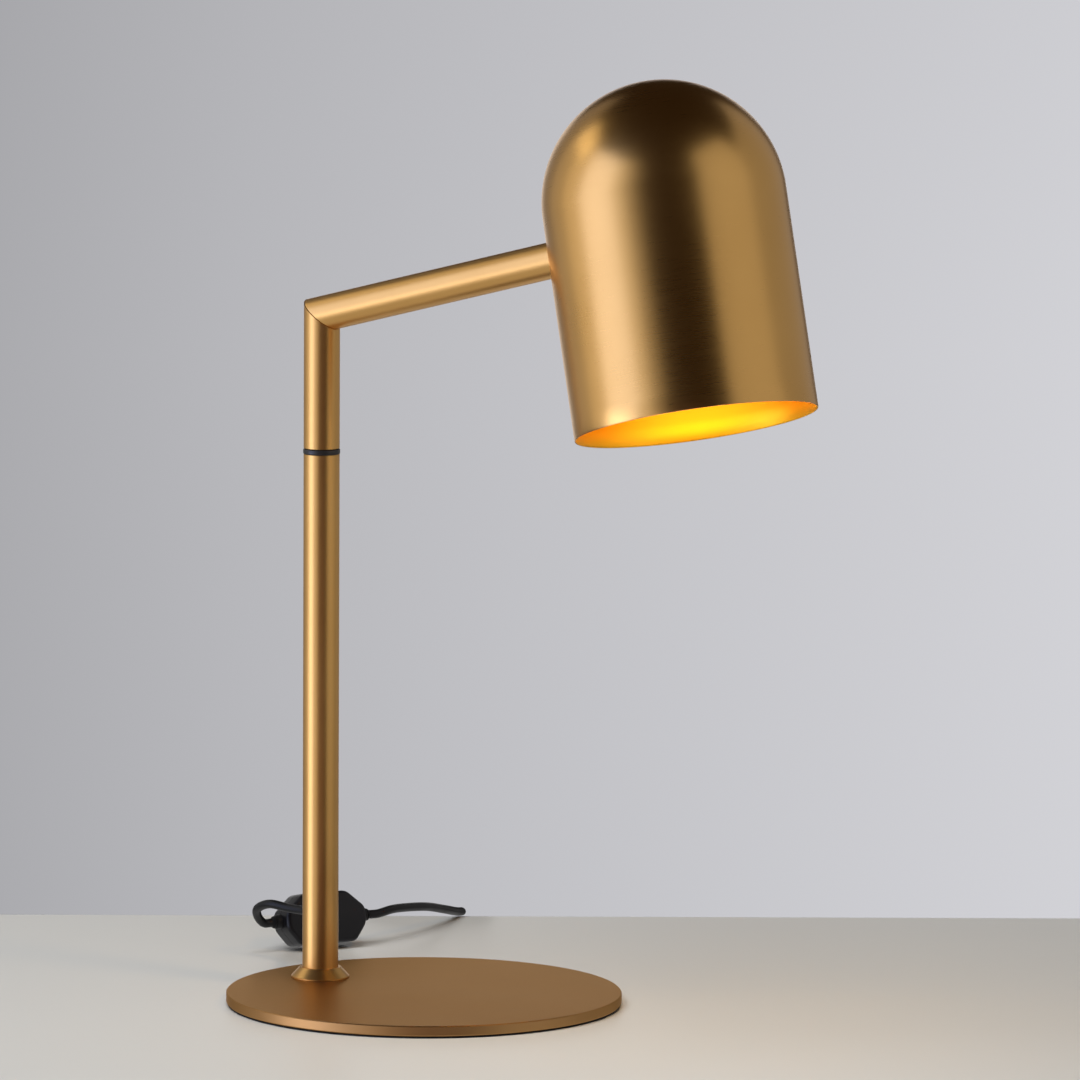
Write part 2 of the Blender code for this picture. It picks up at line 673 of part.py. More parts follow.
def switch_pieces():
    """The in-line switch on its side: two shells, the rocker in the rear one, screws and two boots."""
    half_depth = SWITCH_DEPTH / 2
    for name, side in (("switch_front_shell", -1), ("switch_rear_shell", 1)):
        near, far = sorted((side * GAP / 2, side * half_depth))
        shell = place(name, closed_mesh(name, extruded(switch_outline(), near, far)), BLACK, parent=switch)
        near, far = sorted((-side * SWITCH_WALL, side * (half_depth - SWITCH_WALL)))
        hollow = cutter(name + "_hollow", extruded(switch_outline(SWITCH_WALL), near, far), switch)
        cut(shell, hollow)
        if side > 0:
            wide, tall = WINDOW
            window = block((-wide, half_depth / 2, -tall), (wide, 2 * half_depth, tall))
            cut(shell, cutter("rocker_window", window, switch))
        else:
            for screw_x in SCREW_PLACES:
                hole = revolved(rod(SCREW_RADIUS + GAP, -2 * half_depth, -half_depth / 2), 16)
                turn = (-math.pi / 2, 0, 0)
                cut(shell, cutter(f"screw_hole_{screw_x:.3f}", hole, switch, (screw_x, 0, 0), turn))
    for number, screw_x in enumerate(SCREW_PLACES, 1):
        outline = [
            (0, -half_depth + 0.0004),
            (SCREW_RADIUS, -half_depth + 0.0004),
            (SCREW_RADIUS, -half_depth + 0.0020),
            (0.0011, -half_depth + 0.0020),
            (0.0011, half_depth - SWITCH_WALL - GAP),
            (0, half_depth - SWITCH_WALL - GAP),
        ]
        turned(
            f"switch_screw_{number}", outline, STEEL, 16,
            parent=switch, location=(screw_x, 0, 0), rotation=(-math.pi / 2, 0, 0),
        )
    reach = SWITCH_LENGTH / 2 + GAP
    for name, side in (("switch_boot_in", -1), ("switch_boot_out", 1)):
        turned(
            name, boot_outline(SMALL_BOOT, 0.0040), RUBBER, 20,
            parent=switch, location=(side * reach, 0, 0), rotation=(0, side * math.pi / 2, 0),
        )
    contact = block((-0.0090, -0.0070, -0.0035), (0.0090, -0.0030, 0.0035))
    place("switch_contacts", closed_mesh("switch_contacts", contact), BRIGHT_BRASS, parent=switch)

    half = WINDOW[0] - 2 * GAP
    tall = WINDOW[1] - 2 * GAP
    outline = [
        (-half, 0.0),
        (-0.003, -0.0022),
        (0.003, -0.0022),
        (half, 0.0),
        (half, 0.0042),
        (0, 0.0022),
        (-half, 0.0042),
    ]
    shape = laid_flat(extruded(outline, -tall, tall))
    bmesh.ops.scale(shape, vec=(1, -1, 1), verts=shape.verts)
    place("switch_rocker", closed_mesh("switch_rocker", shape), BLACK, parent=rocker)


def along_switch(distance):
    """A point on the switch's long axis, in the cord's frame."""
    return SWITCH_CENTRE + distance * Vector((math.cos(SWITCH_TURN), math.sin(SWITCH_TURN), 0))


def cord_pieces():
    """The free cord: outlet to switch, switch to coil, and the coil in its tie."""
    boots = SWITCH_LENGTH / 2 + SMALL_BOOT + 2 * GAP
    lead_end = [along_switch(-boots - 0.0045), along_switch(-boots)]
    cable("cord_lead", LEAD_ROUTE + lead_end, CORD_RADIUS, RUBBER, cord_frame)
    run_start = [along_switch(boots), along_switch(boots + 0.0060)]
    cable("cord_run", run_start + RUN_ROUTE, CORD_RADIUS, RUBBER, cord_frame)
    half, corner = COIL_HALF, COIL_HALF / 3
    bundle = [
        (COIL_MIDDLE - half, corner - half),
        (COIL_MIDDLE - half + corner, -half),
        (COIL_MIDDLE + half - corner, -half),
        (COIL_MIDDLE + half, corner - half),
        (COIL_MIDDLE + half, half - corner),
        (COIL_MIDDLE + half - corner, half),
        (COIL_MIDDLE - half + corner, half),
        (COIL_MIDDLE - half, half - corner),
    ]
    turned("cord_coil", bundle, RUBBER, 32, parent=cord_frame, location=COIL_CENTRE)

    clear = half + 1.5 * GAP
    outer = clear + 0.0005
    half_width = 0.0025
    place_of_tie = {"parent": cord_frame, "location": COIL_CENTRE + Vector((-COIL_MIDDLE, 0, 0))}
    shape = block((-outer, -half_width, -outer), (outer, half_width, outer))
    tie = place("cord_tie", closed_mesh("cord_tie", shape), BLACK, **place_of_tie)
    inside = block((-clear, -2 * half_width, -clear), (clear, 2 * half_width, clear))
    cut(tie, cutter("tie_inside", inside, **place_of_tie))


def plug_pieces():
    """A flat two-pin plug that lies beside the coil, its boot towards the coil's outer turn."""
    tip = COIL_CENTRE + Vector((-COIL_EXIT - GAP, COIL_MIDDLE + 2 * CORD_RADIUS, 0))
    tip.z = PLUG_DEPTH / 2 + GAP / 3
    plug = empty("plug", cord_frame, tip, (0, 0, math.pi))
    turned(
        "plug_boot",
        [(0, 0), (CORD_RADIUS + 0.0006, 0), (0.0045, PLUG_BOOT - GAP), (0, PLUG_BOOT - GAP)],
        RUBBER, 20, parent=plug, rotation=(0, math.pi / 2, 0),
    )
    half_width, neck, waist = PLUG_WIDTH / 2, 0.0070, 0.0120
    far = PLUG_BOOT + PLUG_LENGTH
    half_depth = PLUG_DEPTH / 2
    outline = [
        (PLUG_BOOT, -neck),
        (PLUG_BOOT + waist, -half_width),
        (far - 0.0030, -half_width),
        (far, -half_width + 0.0030),
        (far, half_width - 0.0030),
        (far - 0.0030, half_width),
        (PLUG_BOOT + waist, half_width),
        (PLUG_BOOT, neck),
    ]
    shape = laid_flat(extruded(outline, -half_depth, half_depth))
    place("plug_body", closed_mesh("plug_body", shape), BLACK, parent=plug)
    for number, side in enumerate((-1, 1), 1):
        outline = [
            (0, 0),
            (0.0020, 0),
            (0.0020, PLUG_PIN_LENGTH - 0.0010),
            (0.0010, PLUG_PIN_LENGTH),
            (0, PLUG_PIN_LENGTH),
        ]
        turned(
            f"plug_pin_{number}", outline, NICKEL, 16, parent=plug,
            location=(far + GAP, side * PLUG_PIN_SPACING / 2, 0), rotation=(0, math.pi / 2, 0),
        )


clear_scene()
cord_frame = empty("cord_frame", rotation=(0, 0, CORD_TURN))
swivel = empty("swivel", location=(-POLE_OFFSET, 0, RING_TOP), rotation=(0, 0, SWIVEL_AT_REST))
elbow = empty("elbow", swivel, (0, 0, ELBOW_HEIGHT - RING_TOP), (0, -ARM_RISE, 0))
arm_axis = empty("arm_axis", elbow, rotation=(0, math.pi / 2, 0))
head_turn = empty("head_turn", elbow, rotation=(HEAD_ROLL_AT_REST, 0, 0))
head = empty("head", head_turn, (ARM_LENGTH, 0, 0))
head_spindle_axis = empty("head_spindle_axis", head_turn, rotation=(0, math.pi / 2, 0))
switch = empty("switch", cord_frame, SWITCH_CENTRE, (-SWITCH_LEAN, 0, SWITCH_TURN))
rocker = empty("rocker", switch, (0, SWITCH_DEPTH / 2 - 0.0010, 0), (0, 0, ROCKER_TILT))
bpy.context.view_layer.update()

base_pieces()
lower_pole_pieces()
arm_pieces()
head_pieces()
switch_pieces()
cord_pieces()
plug_pieces()
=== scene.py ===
"""A brass desk lamp on a pale table.

Finer skins for its CAD pieces, the cord at its real length, and the light.
Metres, +Z up, in the CAD frame: the origin is at the centre of the base's underside.
"""

import math
from bisect import bisect_left

import bmesh
import bpy
from mathutils import Matrix, Vector


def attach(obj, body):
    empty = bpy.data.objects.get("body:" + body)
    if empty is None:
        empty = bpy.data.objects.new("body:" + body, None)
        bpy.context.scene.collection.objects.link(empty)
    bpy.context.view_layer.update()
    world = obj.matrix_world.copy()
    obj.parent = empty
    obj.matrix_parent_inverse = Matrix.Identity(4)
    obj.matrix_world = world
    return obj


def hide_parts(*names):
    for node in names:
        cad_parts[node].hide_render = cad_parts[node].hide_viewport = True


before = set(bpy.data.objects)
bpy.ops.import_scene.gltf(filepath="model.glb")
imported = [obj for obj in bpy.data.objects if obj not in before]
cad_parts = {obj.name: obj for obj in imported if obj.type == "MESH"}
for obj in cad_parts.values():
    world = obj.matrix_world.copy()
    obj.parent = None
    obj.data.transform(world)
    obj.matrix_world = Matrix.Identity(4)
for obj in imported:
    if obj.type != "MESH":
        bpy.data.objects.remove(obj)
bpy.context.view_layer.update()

# Sizes and places, as the CAD model has them
GAP = 0.0003
BRUSH_DEPTH = 0.0000002  # of the metal's brush lines
POLE_OFFSET = 0.0665
TUBE_RADIUS = 0.00915
TUBE_BORE = 0.00815
BASE_TOP = 0.0063
PAD_THICKNESS = 0.0008
PLATE_RADIUS = 0.1000
RING_BOTTOM = 0.2746
RING_TOP = 0.2780
RING_RADIUS = 0.0094
RING_BORE = 0.0055
ELBOW_HEIGHT = 0.3458
ARM_RISE = math.radians(14.6)
ARM_LENGTH = 0.2073
SWIVEL_AT_REST = math.radians(6.55)
HEAD_ROLL_AT_REST = math.radians(-8.1)
SHADE_RADIUS = 0.0608
SHADE_WALL = 0.0009
DOME_CENTRE = 0.0154
RIM_BELOW = 0.0967
BEND_HEIGHT = 0.0270
BULB_SEAM = -0.0180
BULB_TIP = -0.0880
BULB_RADIUS = 0.0290
BULB_NECK = 0.0126

CORD_TURN = math.radians(37.3)
CORD_RADIUS = 0.0023
OUTLET = Vector((-0.0529, 0.0403, 0.0300))
BOOT_LENGTH = 0.0240
SMALL_BOOT = 0.0050
SWITCH_CENTRE = Vector((-0.0545, 0.1642, 0.0153))
SWITCH_TURN = math.radians(28)
SWITCH_LEAN = math.radians(12)
SWITCH_LENGTH = 0.0464
SWITCH_HEIGHT = 0.0270
SWITCH_DEPTH = 0.0180
SWITCH_TAPER = 0.0105
SWITCH_LOW_TAPER = 0.0070
SWITCH_END = 0.0043
COIL_CENTRE = Vector((0.0026, 0.3010, 0.0081))
COIL_MIDDLE = 0.0268
COIL_EXIT = 0.0190
TURN_SPACING = 0.0048
CORD_SIDES = 20
COIL_START = math.radians(-25)  # where the cord meets the coil
COIL_END = math.radians(90)  # where it leaves for the plug
PLUG_BOOT = 0.0200
PLUG_LENGTH = 0.0350
PLUG_WIDTH = 0.0350
PLUG_DEPTH = 0.0137
LEAD_ROUTE = [
    (-0.0529, 0.0738, 0.0300),
    (-0.0530, 0.0840, 0.0300),
    (-0.0540, 0.0980, 0.0280),
    (-0.0600, 0.1110, 0.0280),
    (-0.0700, 0.1210, 0.0280),
    (-0.0800, 0.1280, 0.0290),
    (-0.0865, 0.1375, 0.0250),
    (-0.0865, 0.1445, 0.0195),
]
RUN_ROUTE = [
    (-0.0150, 0.1920, 0.0160),
    (0.0000, 0.2160, 0.0130),
    (0.0100, 0.2380, 0.0080),
    (0.0160, 0.2550, 0.0040),
    (0.0195, 0.2625, 0.0026),
    (0.0235, 0.2705, 0.0026),
]
LEAD_LENGTH = 0.098
RUN_LENGTH = 1.56

# The camera, fitted to the photograph: metres, degrees and millimetres
CAMERA_PLACE = (2.98415, -3.91507, 0.88209)
CAMERA_ANGLES = (82.5285, -0.3140, 36.6888)
CAMERA_LENS = 329.3
TABLE_EDGE = 0.2625  # from the base's centre to the backdrop, in the cord's frame


def empty(name, parent=None, location=(0, 0, 0), rotation=(0, 0, 0)):
    made = bpy.data.objects.new(name, None)
    bpy.context.scene.collection.objects.link(made)
    made.parent = parent
    made.location = location
    made.rotation_euler = rotation
    return made


def make_camera():
    data = bpy.data.cameras.new("camera")
    data.lens = CAMERA_LENS
    data.sensor_width = 36
    data.clip_end = 50
    camera = bpy.data.objects.new("camera", data)
    bpy.context.scene.collection.objects.link(camera)
    camera.location = CAMERA_PLACE
    camera.rotation_euler = [math.radians(angle) for angle in CAMERA_ANGLES]
    bpy.context.scene.camera = camera


# Materials


def material(name, colour, roughness, metallic=0.0):
    """A Principled material, with its node tree and its shader."""
    made = bpy.data.materials.new(name)
    made.use_nodes = True
    tree = made.node_tree
    shader = tree.nodes["Principled BSDF"]
    shader.inputs["Base Color"].default_value = (*colour, 1)
    shader.inputs["Roughness"].default_value = roughness
    shader.inputs["Metallic"].default_value = metallic
    return made, tree, shader


def add(tree, kind, inputs=(), **settings):
    """A node of this kind, with its settings, and its inputs set or linked."""
    node = tree.nodes.new(kind)
    for name, value in settings.items():
        setattr(node, name, value)
    for name, value in dict(inputs).items():
        if isinstance(value, bpy.types.NodeSocket):
            tree.links.new(value, node.inputs[name])
        else:
            node.inputs[name].default_value = value
    return node


def noise(tree, where, scale, detail=2.0, stretch=(1, 1, 1)):
    """Noise in object space, drawn out by stretch. Its factor is the output."""
    mapping = add(tree, "ShaderNodeMapping", {"Vector": where, "Scale": stretch})
    made = add(tree, "ShaderNodeTexNoise", {"Vector": mapping.outputs[0], "Scale": scale, "Detail": detail})
    return made.outputs["Fac"]


def between(tree, factor, low, high):
    """A value or a colour that runs from low to high as the factor runs from 0.3 to 0.7."""
    if isinstance(low, (int, float)):
        return add(
            tree,
            "ShaderNodeMapRange",
            {"Value": factor, "From Min": 0.3, "From Max": 0.7, "To Min": low, "To Max": high},
        ).outputs[0]
    ramp = add(tree, "ShaderNodeValToRGB", {"Fac": factor})
    ramp.color_ramp.elements[0].position = 0.3
    ramp.color_ramp.elements[0].color = (*low, 1)
    ramp.color_ramp.elements[1].position = 0.7
    ramp.color_ramp.elements[1].color = (*high, 1)
    return ramp.outputs[0]


def bump(tree, shader, height, distance):
    node = add(tree, "ShaderNodeBump", {"Height": height, "Distance": distance, "Strength": 1.0})
    tree.links.new(node.outputs[0], shader.inputs["Normal"])


def object_space(tree):
    return add(tree, "ShaderNodeTexCoord").outputs["Object"]


def brushed(name, dark, light, roughness, stretch, edge=(1, 1, 1)):
    """Lacquered metal with fine brush lines that run across stretch's largest direction."""
    made, tree, shader = material(name, light, roughness, 1.0)
    shader.inputs["Specular Tint"].default_value = (*edge, 1)
    where = object_space(tree)
    lines = noise(tree, where, 2600, 2, stretch)
    clouds = noise(tree, where, 14, 3)
    tree.links.new(between(tree, clouds, dark, light), shader.inputs["Base Color"])
    mixed = add(tree, "ShaderNodeMath", {0: lines, 1: clouds}, operation="ADD")
    halved = add(tree, "ShaderNodeMath", {0: mixed.outputs[0], 1: 0.5}, operation="MULTIPLY")
    rough = between(tree, halved.outputs[0], roughness - 0.03, roughness + 0.04)
    tree.links.new(rough, shader.inputs["Roughness"])
    bump(tree, shader, lines, BRUSH_DEPTH)
    return made


def plastic(name, colour, roughness, grain_scale, grain, sheen=0.25):
    """Moulded plastic: a fine grain and a slight change of gloss."""
    made, tree, shader = material(name, colour, roughness)
    shader.inputs["Specular IOR Level"].default_value = sheen
    where = object_space(tree)
    fine = noise(tree, where, grain_scale, 2)
    broad = noise(tree, where, 60, 3)
    lighter = [1.5 * value + 0.004 for value in colour]
    tree.links.new(between(tree, broad, colour, lighter), shader.inputs["Base Color"])
    tree.links.new(between(tree, broad, roughness - 0.06, roughness + 0.08), shader.inputs["Roughness"])
    bump(tree, shader, fine, grain)
    return made


def bulb_material():
    """Frosted glass lit from inside, brightest over the middle of the bulb."""
    made, tree, shader = material("lit_bulb", (1.0, 0.88, 0.66), 0.35)
    edge = add(tree, "ShaderNodeLayerWeight", {"Blend": 0.35}).outputs["Facing"]
    mottle = noise(tree, object_space(tree), 45, 3)
    warm = between(tree, edge, (1.0, 0.80, 0.42), (1.0, 0.60, 0.20))
    tree.links.new(warm, shader.inputs["Emission Color"])
    tree.links.new(between(tree, mottle, 1.0, 1.25), shader.inputs["Emission Strength"])
    return made


def floor_material():
    """A pale matt table top with a faint satin sheen."""
    made, tree, shader = material("pale_table", (0.62, 0.62, 0.61), 0.42)
    soft = noise(tree, object_space(tree), 3.0, 3)
    dark, light = (0.597, 0.602, 0.588), (0.627, 0.632, 0.618)
    tree.links.new(between(tree, soft, dark, light), shader.inputs["Base Color"])
    tree.links.new(between(tree, soft, 0.40, 0.46), shader.inputs["Roughness"])
    shader.inputs["Specular IOR Level"].default_value = 0.35
    return made


def painted_shade_backdrop_material():
    """A pale wall that glows, with painted shade: darker at its left and towards its top. Only its front
    side shows.
    """
    made, tree, shader = material("pale_wall_painted_shade", (0, 0, 0), 0.9)
    place = add(tree, "ShaderNodeSeparateXYZ", {"Vector": object_space(tree)})
    # Painted shade: the wall's glow runs darker towards its left.
    across = add(
        tree, "ShaderNodeMapRange", {"Value": place.outputs["X"], "From Min": -0.24, "From Max": 0.36}
    ).outputs[0]
    ramp = add(tree, "ShaderNodeValToRGB", {"Fac": across})
    ramp.color_ramp.elements[1].position = 1.0
    for position in (0.25, 0.5):
        ramp.color_ramp.elements.new(position)
    for stop, grey in zip(ramp.color_ramp.elements, (0.400, 0.477, 0.538, 0.645)):
        stop.color = (grey, grey, 1.05 * grey, 1)
    # Painted shade: the glow dims towards the wall's top.
    height = add(
        tree,
        "ShaderNodeMapRange",
        {"Value": place.outputs["Y"], "From Min": 0.30, "From Max": 0.55, "To Min": 1.0, "To Max": 0.94},
    ).outputs[0]
    shader.inputs["Specular IOR Level"].default_value = 0
    tree.links.new(ramp.outputs[0], shader.inputs["Emission Color"])
    tree.links.new(height, shader.inputs["Emission Strength"])
    side = add(tree, "ShaderNodeNewGeometry").outputs["Backfacing"]
    clear = add(tree, "ShaderNodeBsdfTransparent")
    mix = add(tree, "ShaderNodeMixShader", {0: side, 1: shader.outputs[0], 2: clear.outputs[0]})
    tree.links.new(mix.outputs[0], tree.nodes["Material Output"].inputs["Surface"])
    return made


TUBE_BRASS = brushed("satin_brass_tube", (0.72, 0.405, 0.125), (0.78, 0.45, 0.145), 0.35, (0.03, 0.03, 1))
SHADE_BRASS = brushed("satin_brass_bell", (0.72, 0.405, 0.125), (0.78, 0.45, 0.145), 0.29, (0.03, 0.03, 1))
LINING = brushed("gold_lining", (0.95, 0.50, 0.02), (0.98, 0.56, 0.03), 0.45, (1, 1, 1))
BASE_BRASS = brushed(
    "satin_bronze_plate", (0.50, 0.27, 0.10), (0.56, 0.31, 0.12), 0.44, (1, 1, 1), edge=(1.0, 0.80, 0.56)
)
TURNED_BRASS = brushed("turned_brass_parts", (0.62, 0.47, 0.20), (0.72, 0.55, 0.25), 0.22, (1, 1, 0.1))
STEEL = brushed("zinc_steel", (0.50, 0.50, 0.49), (0.62, 0.62, 0.60), 0.32, (1, 1, 1))
NICKEL = brushed("nickel", (0.68, 0.66, 0.62), (0.76, 0.74, 0.70), 0.22, (1, 1, 0.1))
BLACK = plastic("black_plastic", (0.006, 0.006, 0.008), 0.38, 1800, 0.000012)
SATIN_BLACK = plastic("satin_black_ring", (0.012, 0.012, 0.013), 0.34, 900, 0.000004, 0.5)
CORD_BLACK = plastic("black_cord_sheath", (0.005, 0.005, 0.006), 0.40, 1100, 0.000008)
HOLDER_BLACK = plastic("lampholder_moulding", (0.022, 0.021, 0.020), 0.30, 1500, 0.000004)
FOAM = plastic("black_foam", (0.014, 0.014, 0.014), 0.85, 2600, 0.00008)
LIT_BULB = bulb_material()

CAD_LOOKS = {
    STEEL: [
        "foot_washer", "foot_nut", "foot_nipple", "swivel_stop_pin", "swivel_lug_washer",
        "swivel_spring_washer", "swivel_nut", "head_stop_pin", "head_spindle", "head_lug_washer",
        "head_spring_washer", "head_nut", "head_spacer", "head_fixing_nut", "head_bracket",
        "lampholder_nipple", "lampholder_nut", "switch_screw_1", "switch_screw_2",
    ],
    TURNED_BRASS: [
        "foot_plug", "swivel_socket", "swivel_spigot", "arm_plug", "switch_contacts", "lampholder_contact",
    ],
    CORD_BLACK: ["pole_lead", "arm_lead", "head_lead"],
    SATIN_BLACK: ["head_washer"],
    NICKEL: ["bulb_cap", "plug_pin_1", "plug_pin_2"],
}


# Shapes


def as_piece(name, shape, look, body, record_slot, stands_for, parent=None, sharp=30, **where):
    """The object of a bmesh, riding on its body in place of the CAD nodes it stands for."""
    bmesh.ops.remove_doubles(shape, verts=shape.verts, dist=1e-6)
    bmesh.ops.recalc_face_normals(shape, faces=shape.faces)
    mesh = bpy.data.meshes.new(name)
    shape.to_mesh(mesh)
    shape.free()
    mesh.shade_smooth()
    mesh.set_sharp_from_angle(angle=math.radians(sharp))
    mesh.materials.append(look)
    made = bpy.data.objects.new(name, mesh)
    bpy.context.scene.collection.objects.link(made)
    made.matrix_world = place_of(parent, **where)
    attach(made, body)
    if stands_for:
        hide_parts(*stands_for)
    return made


def place_of(parent, location=(0, 0, 0), rotation=(0, 0, 0)):
    """The world matrix of a location and Euler rotation under an empty."""
    own = Matrix.LocRotScale(Vector(location), Matrix.Identity(3), None)
    own = own @ (
        Matrix.Rotation(rotation[2], 4, "Z")
        @ Matrix.Rotation(rotation[1], 4, "Y")
        @ Matrix.Rotation(rotation[0], 4, "X")
    )
    return (parent.matrix_world if parent else Matrix.Identity(4)) @ own


def revolved(outline, segments):
    """A bmesh of (radius, height) points turned about Z. It closes on itself, or on the axis."""
    shape = bmesh.new()
    points = [shape.verts.new((radius, 0, height)) for radius, height in outline]
    edges = [shape.edges.new(pair) for pair in zip(points, points[1:])]
    if outline[0][0] > 0:
        edges.append(shape.edges.new((points[-1], points[0])))
    bmesh.ops.spin(
        shape, geom=points + edges, cent=(0, 0, 0), axis=(0, 0, 1), angle=math.tau, steps=segments
    )
    bmesh.ops.remove_doubles(shape, verts=shape.verts, dist=1e-6)
    return shape


def rounded(outline, radius, steps=4, closed=True):
    """The outline with its corners turned into arcs of this radius, or less where the sides are short."""
    points = [Vector(point) for point in outline]
    result = []
    for index, corner in enumerate(points):
        at_end = index in (0, len(points) - 1)
        before, after = points[index - 1], points[(index + 1) % len(points)]
        if (at_end and not closed) or radius <= 0:
            result.append(tuple(corner))
            continue
        into, out = before - corner, after - corner
        reach = min(radius, 0.45 * into.length, 0.45 * out.length)
        start, end = corner + into.normalized() * reach, corner + out.normalized() * reach
        for step in range(steps + 1):
            t = step / steps
            result.append(tuple((1 - t) ** 2 * start + 2 * t * (1 - t) * corner + t * t * end))
    return result


def sleeve(outer, inner, bottom, top):
    return [(inner, bottom), (outer, bottom), (outer, top), (inner, top)]


def smooth_points(route, spacing):
    """Points a given distance apart on a Catmull-Rom curve through the route's own points."""
    points = [Vector(point) for point in route]
    ends = [2 * points[0] - points[1], *points, 2 * points[-1] - points[-2]]
    fine = []
    for before, start, end, after in zip(ends, ends[1:], ends[2:], ends[3:]):
        for step in range(20):
            t = step / 20
            fine.append(
                0.5
                * (
                    2 * start
                    + (end - before) * t
                    + (2 * before - 5 * start + 4 * end - after) * t**2
                    + (3 * start - before - 3 * end + after) * t**3
                )
            )
    fine.append(points[-1])
    walked = [0.0]
    for a, b in zip(fine, fine[1:]):
        walked.append(walked[-1] + (b - a).length)
    count = round(walked[-1] / spacing)
    marks = [walked[-1] * n / count for n in range(count)]
    return [*(fine[bisect_left(walked, mark)] for mark in marks), fine[-1]]


# The base and the pole


def base_skins():
    chamfer = 0.0005
    outline = [
        (0, BASE_TOP),
        (PLATE_RADIUS - 0.0040, BASE_TOP),
        (PLATE_RADIUS - chamfer, BASE_TOP),
        (PLATE_RADIUS, BASE_TOP - chamfer),
        (PLATE_RADIUS, PAD_THICKNESS + GAP + chamfer),
        (PLATE_RADIUS - chamfer, PAD_THICKNESS + GAP),
        (0, PAD_THICKNESS + GAP),
    ]
    as_piece(
        "base_plate_skin", revolved(outline, 192), BASE_BRASS, "base", "base_brass", ["base_plate"], sharp=25
    )
    pad = [(0, 0), (0.0991, 0), (0.0993, 0.0002), (0.0993, 0.0006), (0.0991, 0.0008), (0, 0.0008)]
    as_piece("base_pad_skin", revolved(pad, 192), FOAM, "base", "pad", ["base_pad"])

    top, bottom = BASE_TOP + 0.0055, BASE_TOP + GAP / 2
    outline = [
        (TUBE_RADIUS + 0.00005, bottom),
        (0.0148, bottom),
        (0.0148, BASE_TOP + 0.0009),
        (0.0144, BASE_TOP + 0.0013),
        (0.0107, top - 0.0003),
        (0.0104, top),
        (TUBE_RADIUS + 0.00005, top),
    ]
    as_piece(
        "ferrule_skin", revolved(outline, 128), TUBE_BRASS, "base", "brass", ["pole_ferrule"],
        location=(-POLE_OFFSET, 0, 0), sharp=40,
    )


def pole_skins():
    at_pole = {"location": (-POLE_OFFSET, 0, 0)}
    bevel = 0.0002
    top = RING_BOTTOM + GAP
    outline = [
        (TUBE_BORE, BASE_TOP + GAP),
        (TUBE_RADIUS, BASE_TOP + GAP),
        (TUBE_RADIUS, top - bevel),
        (TUBE_RADIUS - bevel, top),
        (TUBE_BORE, top),
    ]
    as_piece(
        "lower_pole_skin", revolved(outline, 128), TUBE_BRASS, "base", "brass", ["lower_pole"], **at_pole
    )
    ring = rounded(sleeve(RING_RADIUS, RING_BORE, RING_BOTTOM + GAP, RING_TOP - 2 * GAP), 0.0005)
    as_piece(
        "swivel_ring_skin", revolved(ring, 128), SATIN_BLACK, "base", "black_plastic", ["swivel_ring"],
        **at_pole, sharp=60,
    )


def mitred(outline, segments, slope, flip):
    """A tube along Z whose end at 0 is sheared to the mitre's plane, z = slope * x."""
    shape = revolved(outline, segments)
    far = max(abs(height) for _, height in outline)
    for point in shape.verts:
        if abs(point.co.z) < far / 2:
            point.co.z += flip * slope * point.co.x
    return shape


def arm_skins():
    """The post above the ring and the arm. They meet in the plane that halves the elbow's angle."""
    bevel, seam = 0.0002, 0.00012
    turn = math.pi / 2 - ARM_RISE
    slope = math.tan(turn / 2)
    height = ELBOW_HEIGHT - RING_TOP
    outline = [
        (TUBE_BORE, -seam),
        (TUBE_RADIUS - 0.0002, -seam),
        (TUBE_RADIUS, -seam - 0.0002),
        (TUBE_RADIUS, bevel - GAP - height),
        (TUBE_RADIUS - bevel, -GAP - height),
        (TUBE_BORE, -GAP - height),
    ]
    as_piece(
        "upper_post_skin", mitred(outline, 128, slope, -1), TUBE_BRASS, "arm", "brass", ["upper_post"],
        parent=swivel, location=(0, 0, height),
    )
    end = ARM_LENGTH - SHADE_RADIUS - 0.0016
    outline = [
        (TUBE_BORE, seam),
        (TUBE_RADIUS - 0.0002, seam),
        (TUBE_RADIUS, seam + 0.0002),
        (TUBE_RADIUS, end - bevel),
        (TUBE_RADIUS - bevel, end),
        (TUBE_BORE, end),
    ]
    as_piece(
        "arm_tube_skin", mitred(outline, 128, slope, 1), TUBE_BRASS, "arm", "brass", ["arm_tube"],
        parent=arm_axis,
    )


# The head


def shade_skin():
    """The bell: a domed top, straight sides and a rolled rim, brass outside and gold inside."""
    steps = 40
    angles = [math.radians(90) * step / steps for step in range(steps + 1)]
    inner = SHADE_RADIUS - SHADE_WALL

    def arc(radius):
        return [(radius * math.sin(a), DOME_CENTRE + radius * math.cos(a)) for a in angles]

    sides = 12
    lip = 0.0006  # from the wall's last ring to the rim
    drop = RIM_BELOW + DOME_CENTRE - lip
    down = [DOME_CENTRE - drop * step / sides for step in range(1, sides + 1)]
    outside = [*arc(SHADE_RADIUS), *((SHADE_RADIUS, height) for height in down)]
    inside = [*arc(inner), *((inner, height) for height in down)]
    outside[0], inside[0] = (0, outside[0][1]), (0, inside[0][1])
    middle = (SHADE_RADIUS + inner) / 2
    lip_inset = 0.0002
    foot = [(SHADE_RADIUS - lip_inset, -RIM_BELOW), (middle, -RIM_BELOW)]
    shape = revolved([*outside, *foot, *reversed(inside)], 160)
    made = as_piece("shade_skin", shape, SHADE_BRASS, "head", "brass", ["shade"], parent=head, sharp=50)
    made.data.materials.append(LINING)
    wall = SHADE_RADIUS - 0.6 * SHADE_WALL
    for face in made.data.polygons:
        middle = face.center
        height = max(middle.z - DOME_CENTRE, 0)
        if math.hypot(math.hypot(middle.x, middle.y), height) < wall:
            face.material_index = 1
    return made


